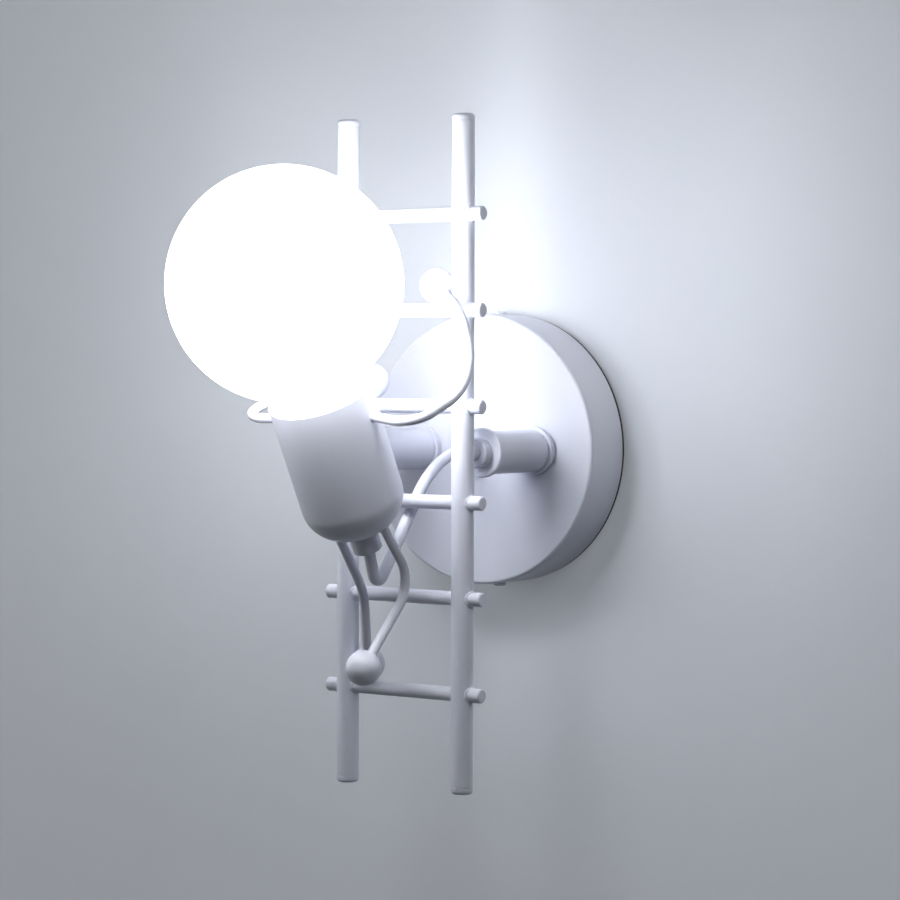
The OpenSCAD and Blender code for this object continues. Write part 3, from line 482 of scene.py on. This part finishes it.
def joined(rings, closed, base=0):
    """Faces between rings of points, and the two ends where the rings aren't closed."""
    sides = len(rings[0])
    count = len(rings)
    faces = []
    for i in range(count if closed else count - 1):
        for k in range(sides):
            a, b = i * sides + k, i * sides + (k + 1) % sides
            c, d = (i + 1) % count * sides + k, (i + 1) % count * sides + (k + 1) % sides
            faces.append((a, b, d, c))
    if not closed:
        faces.append(tuple(range(sides))[::-1])
        faces.append(tuple((count - 1) * sides + k for k in range(sides)))
    return [tuple(base + index for index in face) for face in faces]


def add_piece(name, points, faces, material, body, crease=40):
    """Makes a piece from points in millimetres, shades it smooth and sets it on its body."""
    mesh = bpy.data.meshes.new(name)
    mesh.from_pydata([point * MM for point in points], [], faces)
    mesh.validate()
    mesh.shade_smooth()
    mesh.set_sharp_from_angle(angle=math.radians(crease))
    mesh.materials.append(material)
    piece = bpy.data.objects.new(name, mesh)
    bpy.context.scene.collection.objects.link(piece)
    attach(piece, body)
    return piece


def bent_bar(name, route, radius, sides, material):
    """A solid round bar along a route."""
    rings = rings_along(route, [radius] * len(route), sides)
    return add_piece(name, sum(rings, []), joined(rings, False), material, "lamp")


def bent_tube(name, route, radius, bore, sides, material):
    """A round tube along a route, open at its two ends."""
    outside = rings_along(route, [radius] * len(route), sides)
    inside = rings_along(route, [bore] * len(route), sides)
    rings = outside + inside[::-1]
    return add_piece(name, sum(rings, []), joined(rings, True), material, "lamp")


def weld_loops(name, loops, radius, material):
    """Painted-over weld beads along closed lines, each a little uneven."""
    points, faces = [], []
    for loop in loops:
        radii = [radius * (1 + WELD_UNEVEN * noise.noise(p * WELD_WAVES)) for p in loop]
        rings = rings_along(loop, radii, WELD_SIDES, closed=True)
        faces += joined(rings, True, len(points))
        points += sum(rings, [])
    add_piece(name, points, faces, material, "lamp")


def ring_round(middle, way, radius, count=40):
    """Points of a circle about a direction."""
    across = way.orthogonal().normalized()
    other = way.cross(across)
    return [
        middle + radius * (across * math.cos(t) + other * math.sin(t))
        for t in (2 * math.pi * k / count for k in range(count))]


def limb_end(corners):
    """The corners of a limb, ended where its wire stops inside its ball."""
    way = (corners[-1] - corners[-2]).normalized()
    return [*corners[:-1], corners[-1] - way * (BALL_R - BALL_GRIP)]


def outside_cup(p):
    """Distance of a point from the outer skin of the lamp cup, negative inside it."""
    q = p - HEAD_AT
    w = q.dot(HEAD_AXIS)
    r = (q - HEAD_AXIS * w).length
    if w > CUP_ROUND:
        return r - CUP_R
    if r > CUP_FLOOR_R:
        return math.hypot(r - CUP_FLOOR_R, w - CUP_ROUND) - CUP_ROUND
    return -w


def seam_on_cup(start, way, radius, reach=12.0, halvings=40):
    """The closed line on the cup's skin where a round wire comes out of it, within reach of its start."""
    loop = []
    for p in ring_round(start, way, radius):
        near, far = 0.0, reach
        for _ in range(halvings):
            middle = (near + far) / 2
            if outside_cup(p + way * middle) < 0:
                near = middle
            else:
                far = middle
        loop.append(p + way * near)
    return loop


def seam_on_rail(x, z, side, count=48):
    """The closed line on a rail where a rung comes out of it on one side."""
    loop = []
    for k in range(count):
        t = 2 * math.pi * k / count
        y = RUNG_R * math.cos(t)
        loop.append(Vector((
            x + side * math.sqrt(RAIL_R ** 2 - y ** 2), -LADDER_REACH + y, z + RUNG_R * math.sin(t))))
    return loop


def thread_rows(radius, low, high, runout, per_turn=24):
    """Rows of a thread from low to high, which runs out at both ends: outwards is 1, inwards -1."""
    count = math.ceil((high - low) / THREAD_PITCH * per_turn)
    fade_rows = per_turn / 2
    rows = []
    for i in range(count + 1):
        fade = min(1, i / fade_rows, (count - i) / fade_rows)
        rows.append((
            radius + runout * (1 - fade) * THREAD_DEPTH / 2,
            low + (high - low) * i / count,
            THREAD_DEPTH * fade))
    return rows


def threaded_ring(name, rows, material, body, sides=72):
    """A closed ring whose rows are radius, place along the cup's axis and depth of thread."""
    rings = []
    for radius, w, depth in rows:
        turn = 2 * math.pi * w / THREAD_PITCH
        ring = []
        for k in range(sides):
            t = 2 * math.pi * k / sides
            r = radius + depth / 2 * math.cos(turn - t)
            ring.append(head(r * math.cos(t), r * math.sin(t), w))
        rings.append(ring)
    return add_piece(name, sum(rings, []), joined(rings, True), material, body, crease=50)


def finish_nodes(names, material):
    """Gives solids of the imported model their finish."""
    for name in names:
        if name not in NODES:
            raise RuntimeError(f"the packed model has no piece named {name}")
        for slot in NODES[name].material_slots:
            slot.material = material


# Settings

def color_setting(name, description, default):
    return FloatVectorProperty(
        name=name, description=description, subtype="COLOR", size=3, min=0, max=1, default=default)


def length_setting(name, description, default):
    return FloatProperty(name=name, description=description, unit="LENGTH", min=0, default=default * MM)


class LampFinishes(bpy.types.PropertyGroup):
    """Colours and gloss of the lamp."""

    paint_color: color_setting("Paint", "Colour of the powder coat", (0.695, 0.715, 0.81))
    paint_roughness: FloatProperty(
        name="Paint roughness", description="Roughness of the powder coat", subtype="FACTOR",
        min=0, max=1, default=0.42)
    paint_peel: FloatProperty(
        name="Orange peel", description="Strength of the paint's fine waviness", subtype="FACTOR",
        min=0, max=1, default=0.16)
    glow_color: color_setting("Glow", "Colour of the lit globe", (0.965, 0.98, 1.0))
    glow_strength: FloatProperty(
        name="Glow strength", description="Brightness of the lit globe", min=0, default=19)
    neck_glow: FloatProperty(
        name="Neck glow", description="Share of the glow at the neck of the globe", subtype="FACTOR",
        min=0, max=1, default=0.25)
    crown_glow: FloatProperty(
        name="Crown glow", description="Share of the glow at the crown of the globe", subtype="FACTOR",
        min=0, max=1, default=0.3)
    zinc_color: color_setting("Zinc", "Colour of the plated steel", (0.6, 0.61, 0.63))
    brass_color: color_setting("Brass", "Colour of the contacts", (0.78, 0.58, 0.26))
    plastic_color: color_setting("Plastic", "Colour of the terminal block", (0.8, 0.76, 0.64))
    porcelain_color: color_setting("Porcelain", "Colour of the lampholder", (0.84, 0.82, 0.76))
    collar_color: color_setting("Collar", "Colour of the bulb's collar", (0.82, 0.83, 0.84))
    live_color: color_setting("Live wire", "Colour of the live wire", (0.1, 0.035, 0.012))
    neutral_color: color_setting("Neutral wire", "Colour of the neutral wire", (0.02, 0.09, 0.42))
    earth_color: color_setting("Earth wire", "Ground colour of the earth wire", (0.04, 0.3, 0.03))
    earth_stripe: color_setting("Earth stripe", "Stripe of the earth wire", (0.75, 0.6, 0.03))


class LampSizes(bpy.types.PropertyGroup):
    """Sizes of the bars, tubes, wires and welds."""

    limb: length_setting("Limb radius", "Radius of the arms and legs", 2)
    tube: length_setting("Tube radius", "Radius of the supply tube", 2.5)
    bore: length_setting("Tube bore", "Radius of the supply tube's bore", 1.8)
    wire: length_setting("Wire radius", "Radius of a lamp wire", 0.7)
    earth_wire: length_setting("Earth wire radius", "Radius of the earth wire", 0.9)
    weld: length_setting("Weld radius", "Radius of a weld bead", 0.5)
    sides: IntProperty(name="Sides", description="Faces round a bent bar", min=12, max=64, default=32)


class LampStage(bpy.types.PropertyGroup):
    """Wall, floor and light round the lamp."""

    wall_color: color_setting("Wall", "Colour of the wall", (0.63, 0.658, 0.712))
    wall_bounce: FloatProperty(
        name="Wall bounce", description="Share of the wall's colour that lights the lamp", subtype="FACTOR",
        min=0, max=1, default=1)
    wall_lift: FloatProperty(
        name="Wall lift", description="Brightness of the wall in shade, in view only", min=0, default=0.2)
    floor_color: color_setting("Floor", "Colour of the floor", (0.66, 0.68, 0.71))
    floor_bounce: FloatProperty(
        name="Floor bounce", description="Share of the floor's colour that lights the lamp", subtype="FACTOR",
        min=0, max=1, default=0.3)
    floor_lift: FloatProperty(
        name="Floor lift", description="Brightness of the floor in shade, in view only", min=0, default=0.75)
    sky_color: color_setting("Surround", "Colour of the surround", (0.63, 0.67, 0.74))
    sky_light: FloatProperty(
        name="Surround light", description="Light from the surround", min=0, default=0.05)
    key_power: FloatProperty(
        name="Key light", description="Power of the soft key light", unit="POWER", min=0, default=14)
    fill_power: FloatProperty(
        name="Fill light", description="Power of each soft fill light, in front and behind", unit="POWER",
        min=0, default=10)


# Operators

class LAMP_OT_stage(bpy.types.Operator):
    """Sets up the camera, the wall, the floor and soft light"""

    bl_idname = "lamp.stage"
    bl_label = "Stage"

    def execute(self, context):
        settings = context.scene.lamp_stage
        self.camera(context)
        wall_paint = self.one_sided(
            "wall_paint", tuple(settings.wall_color), settings.wall_bounce, settings.wall_lift)
        floor_paint = self.one_sided(
            "floor_paint", tuple(settings.floor_color), settings.floor_bounce, settings.floor_lift)
        upright = Matrix.Rotation(math.pi / 2, 4, "X")
        self.plane("wall", Matrix.Translation(WALL_AT) @ upright, wall_paint)
        self.plane("floor", Matrix.Translation(FLOOR_AT), floor_paint)
        self.area("key_light", KEY_AT, KEY_SIZE, settings.key_power)
        self.area("fill_light", FILL_AT, FILL_SIZE, settings.fill_power)
        self.area("back_light", BACK_AT, FILL_SIZE, settings.fill_power)
        self.world(context.scene, settings)
        context.scene.view_settings.view_transform = "Standard"
        return {"FINISHED"}

    def camera(self, context):
        data = bpy.data.cameras.new("photo_camera")
        data.sensor_width = CAMERA_SENSOR
        data.lens = CAMERA_LENS
        data.clip_start, data.clip_end = 0.01, 50
        look = Vector((
            -math.sin(CAMERA_TURN) * math.cos(CAMERA_RISE), math.cos(CAMERA_TURN) * math.cos(CAMERA_RISE),
            -math.sin(CAMERA_RISE)))
        level = Vector((math.cos(CAMERA_TURN), math.sin(CAMERA_TURN), 0))
        plumb = level.cross(look)
        s, c = math.sin(CAMERA_ROLL), math.cos(CAMERA_ROLL)
        right, up = level * c + plumb * s, plumb * c - level * s
        camera = bpy.data.objects.new("photo_camera", data)
        camera.matrix_world = Matrix.Translation(CAMERA_AT) @ Matrix(
            (right, up, -look)).transposed().to_4x4()
        context.scene.collection.objects.link(camera)
        context.scene.camera = camera

    def plane(self, name, matrix, material):
        half = STAGE_SIZE / 2
        mesh = bpy.data.meshes.new(name)
        mesh.from_pydata(
            [(-half, -half, 0), (half, -half, 0), (half, half, 0), (-half, half, 0)], [], [(0, 1, 2, 3)])
        mesh.materials.append(material)
        plane = bpy.data.objects.new(name, mesh)
        plane.matrix_world = matrix
        plane.visible_shadow = False
        bpy.context.scene.collection.objects.link(plane)

    def one_sided(self, name, color, bounce, lift):
        """Pale paint on the front of a plane that can be seen through from behind.

        The share bounce of its colour lights the lamp, and the lift shows in view only.
        """
        material, f = new_finish(name)
        roller = f.grain(30, 3)
        dull, seen = (
            f.node("ShaderNodeBsdfDiffuse", inputs={
                "Color": f.between(shade(color, 0.985 * share), shade(color, 1.015 * share), roller)})
            for share in (bounce, 1.0))
        lifted = f.node("ShaderNodeAddShader", inputs={
            0: seen, 1: f.node("ShaderNodeEmission", inputs={"Color": opaque(color), "Strength": lift})})
        front = f.node("ShaderNodeMixShader", inputs={0: f.in_view(), 1: dull, 2: lifted})
        behind = f.node("ShaderNodeBsdfTransparent")
        side = f.node("ShaderNodeNewGeometry", output="Backfacing")
        f.node("ShaderNodeOutputMaterial", inputs={
            "Surface": f.node("ShaderNodeMixShader", inputs={0: side, 1: front, 2: behind})})
        return material

    def area(self, name, place, size, power):
        data = bpy.data.lights.new(name, "AREA")
        data.shape = "DISK"
        data.size = size
        data.energy = power
        light = bpy.data.objects.new(name, data)
        light.location = place
        light.rotation_euler = (-Vector(place)).to_track_quat("-Z", "Y").to_euler()
        bpy.context.scene.collection.objects.link(light)

    def world(self, scene, settings):
        scene.world = bpy.data.worlds.new("surround")
        scene.world.use_nodes = True
        f = Finish(scene.world.node_tree)
        color = opaque(tuple(settings.sky_color))
        light, seen = (
            f.node("ShaderNodeBackground", inputs={"Color": color, "Strength": strength})
            for strength in (settings.sky_light, 1.0))
        f.node("ShaderNodeOutputWorld", inputs={
            "Surface": f.node("ShaderNodeMixShader", inputs={0: f.in_view(), 1: light, 2: seen})})


class LAMP_OT_painted(bpy.types.Operator):
    """Paints the canopy, ladder, cup, balls and fittings"""

    bl_idname = "lamp.painted"
    bl_label = "Painted pieces"

    def execute(self, context):
        finish_nodes(PAINTED, powder_coat(context.scene.lamp_finishes))
        return {"FINISHED"}


class LAMP_OT_fittings(bpy.types.Operator):
    """Finishes the bracket, screws, nipples and nuts, and makes the piece behind the canopy's rim near black
    """

    bl_idname = "lamp.fittings"
    bl_label = "Fittings"

    def execute(self, context):
        finishes = context.scene.lamp_finishes
        finish_nodes(ZINC_PLATED, zinc_plate(finishes))
        finish_nodes(["terminal_block"], moulded_plastic("block_plastic", tuple(finishes.plastic_color), 0.4))
        finish_nodes(["terminal_screws"], bare_brass(finishes))
        # Near-black piece between the canopy's rim and the wall: it makes the dark line round the canopy.
        finish_nodes(["wall_seal"], dark_rim_line())
        return {"FINISHED"}


class LAMP_OT_limbs(bpy.types.Operator):
    """Bends the wires of the arms and legs"""

    bl_idname = "lamp.limbs"
    bl_label = "Arms and legs"

    def execute(self, context):
        sizes = context.scene.lamp_sizes
        paint = bpy.data.materials["powder_coat"]
        for name, (corners, bends) in LIMBS.items():
            route = bent_route(limb_end(corners), bends)
            piece = bent_bar(name + "_wire", route, sizes.limb / MM, sizes.sides, paint)
            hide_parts(name)
        return {"FINISHED"}


class LAMP_OT_supply_tube(bpy.types.Operator):
    """Bends the tube that carries the lamp head"""

    bl_idname = "lamp.supply_tube"
    bl_label = "Supply tube"

    def execute(self, context):
        sizes = context.scene.lamp_sizes
        paint = bpy.data.materials["powder_coat"]
        piece = bent_tube(
            "supply_tube_bent", bent_route(*TUBE), sizes.tube / MM, sizes.bore / MM, sizes.sides, paint)
        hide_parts("supply_tube")
        return {"FINISHED"}


class LAMP_OT_welds(bpy.types.Operator):
    """Lays the painted-over welds of rungs, limbs and tube"""

    bl_idname = "lamp.welds"
    bl_label = "Welds"

    def execute(self, context):
        sizes = context.scene.lamp_sizes
        paint = bpy.data.materials["powder_coat"]
        weld = sizes.weld / MM
        limb = sizes.limb / MM
        rails = [
            seam_on_rail(x, z, side) for z in RUNG_Z for x in (-RAIL_X, RAIL_X) for side in (-1, 1)]
        weld_loops("rung_welds", rails, weld, paint)
        balls, cup = [], []
        for corners, _ in LIMBS.values():
            way = (corners[-1] - corners[-2]).normalized()
            balls.append(ring_round(corners[-1] - way * math.sqrt(BALL_R ** 2 - limb ** 2), way, limb))
            cup.append(seam_on_cup(corners[0], (corners[1] - corners[0]).normalized(), limb))
        weld_loops("ball_welds", balls, weld * BALL_WELD, paint)
        weld_loops("cup_welds", cup, weld * CUP_WELD, paint)
        weld_loops("tube_welds", [
            ring_round(Vector((0, CANOPY_COUPLING_Y, 0)), Vector((0, -1, 0)), sizes.tube / MM),
            ring_round(head(0, 0, -COUPLING_L), -HEAD_AXIS, sizes.tube / MM)], weld * TUBE_WELD, paint)
        return {"FINISHED"}


class LAMP_OT_wires(bpy.types.Operator):
    """Runs the wires from the terminal block to the lampholder and the earth lug"""

    bl_idname = "lamp.wires"
    bl_label = "Wires"

    def execute(self, context):
        finishes, sizes = context.scene.lamp_finishes, context.scene.lamp_sizes
        looks = {
            "live_wire": (
                sizes.wire, insulation("live_insulation", tuple(finishes.live_color)), "brown_wire"),
            "neutral_wire": (
                sizes.wire, insulation("neutral_insulation", tuple(finishes.neutral_color)), "blue_wire"),
            "earth_wire": (
                sizes.earth_wire, insulation("earth_insulation", tuple(finishes.earth_color)), "earth_wire"),
        }
        for name, (radius, material, slot) in looks.items():
            route = bent_route(*WIRES[name])
            piece = bent_bar(name + "_run", route, radius / MM, WIRE_SIDES, material)
            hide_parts(name)
            if name == "earth_wire":
                piece.data.materials.append(insulation("earth_stripe", tuple(finishes.earth_stripe)))
                for face in piece.data.polygons:
                    if len(face.vertices) == 4 and face.index % WIRE_SIDES in STRIPE_FACES:
                        face.material_index = 1
        return {"FINISHED"}


class LAMP_OT_lampholder(bpy.types.Operator):
    """Finishes the lampholder and turns its screw shell"""

    bl_idname = "lamp.lampholder"
    bl_label = "Lampholder"

    def execute(self, context):
        finishes = context.scene.lamp_finishes
        brass = bpy.data.materials["bare_brass"]
        finish_nodes(["holder_base"], bpy.data.materials["block_plastic"])
        finish_nodes(["holder_body"], thin_glaze(finishes))
        finish_nodes(["centre_contact", "holder_terminals"], brass)
        shell = threaded_ring("screw_shell_thread", [
            (SHELL_HOLE_R, SHELL_LOW, 0), (SHELL_R, SHELL_LOW, 0), (SHELL_R, SHELL_TOP, 0),
            *thread_rows(SHELL_THREAD_R, SHELL_FLOOR, SHELL_TOP, 1)[::-1],
            (SHELL_HOLE_R, SHELL_FLOOR, 0)], brass, "lamp")
        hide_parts("screw_shell")
        return {"FINISHED"}


class LAMP_OT_bulb(bpy.types.Operator):
    """Finishes the globe bulb and turns its cap"""

    bl_idname = "lamp.bulb"
    bl_label = "Bulb"

    def execute(self, context):
        finishes = context.scene.lamp_finishes
        nickel = nickel_plate()
        finish_nodes(["bulb_tip"], nickel)
        finish_nodes(["bulb_insulator"], black_insulator())
        finish_nodes(["bulb_collar"], moulded_plastic("collar_plastic", tuple(finishes.collar_color), 0.35))
        finish_nodes(["led_board"], solder_mask())
        finish_nodes(["led_chips"], phosphor(finishes))
        finish_nodes(["bulb_globe"], opal_glass(finishes))
        cap = threaded_ring("bulb_cap_thread", [
            (CAP_HOLE_R, CAP_LOW, 0), *thread_rows(THREAD_MEAN_R, CAP_LOW, CAP_THREAD_TOP, -1),
            (CAP_RIM_R, CAP_RIM_LOW, 0), (CAP_RIM_R, CAP_TOP, 0), (CAP_BORE_R, CAP_TOP, 0),
            (CAP_BORE_R, CAP_FLOOR, 0), (CAP_HOLE_R, CAP_FLOOR, 0)], nickel, "bulb")
        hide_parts("bulb_cap")
        return {"FINISHED"}


STEPS = (
    LAMP_OT_stage, LAMP_OT_painted, LAMP_OT_fittings, LAMP_OT_limbs, LAMP_OT_supply_tube, LAMP_OT_welds,
    LAMP_OT_wires, LAMP_OT_lampholder, LAMP_OT_bulb)
SETTINGS = {"lamp_finishes": LampFinishes, "lamp_sizes": LampSizes, "lamp_stage": LampStage}


class LAMP_PT_panel(bpy.types.Panel):
    """The lamp's settings and steps"""

    bl_idname = "LAMP_PT_panel"
    bl_label = "Ladder wall lamp"
    bl_space_type = "VIEW_3D"
    bl_region_type = "UI"
    bl_category = "Lamp"

    def draw(self, context):
        for step in STEPS:
            self.layout.operator(step.bl_idname)
        for name, group in SETTINGS.items():
            box = self.layout.box()
            for setting in group.__annotations__:
                box.prop(getattr(context.scene, name), setting)


def register():
    for group in SETTINGS.values():
        bpy.utils.register_class(group)
    for step in (*STEPS, LAMP_PT_panel):
        bpy.utils.register_class(step)
    for name, group in SETTINGS.items():
        setattr(bpy.types.Scene, name, PointerProperty(type=group))


def unregister():
    for name in SETTINGS:
        delattr(bpy.types.Scene, name)
    for made in (LAMP_PT_panel, *reversed(STEPS), *SETTINGS.values()):
        bpy.utils.unregister_class(made)


def main():
    register()
    bpy.ops.lamp.stage()
    bpy.ops.lamp.painted()
    bpy.ops.lamp.fittings()
    bpy.ops.lamp.limbs()
    bpy.ops.lamp.supply_tube()
    bpy.ops.lamp.welds()
    bpy.ops.lamp.wires()
    bpy.ops.lamp.lampholder()
    bpy.ops.lamp.bulb()


if __name__ == "__main__":
    main()
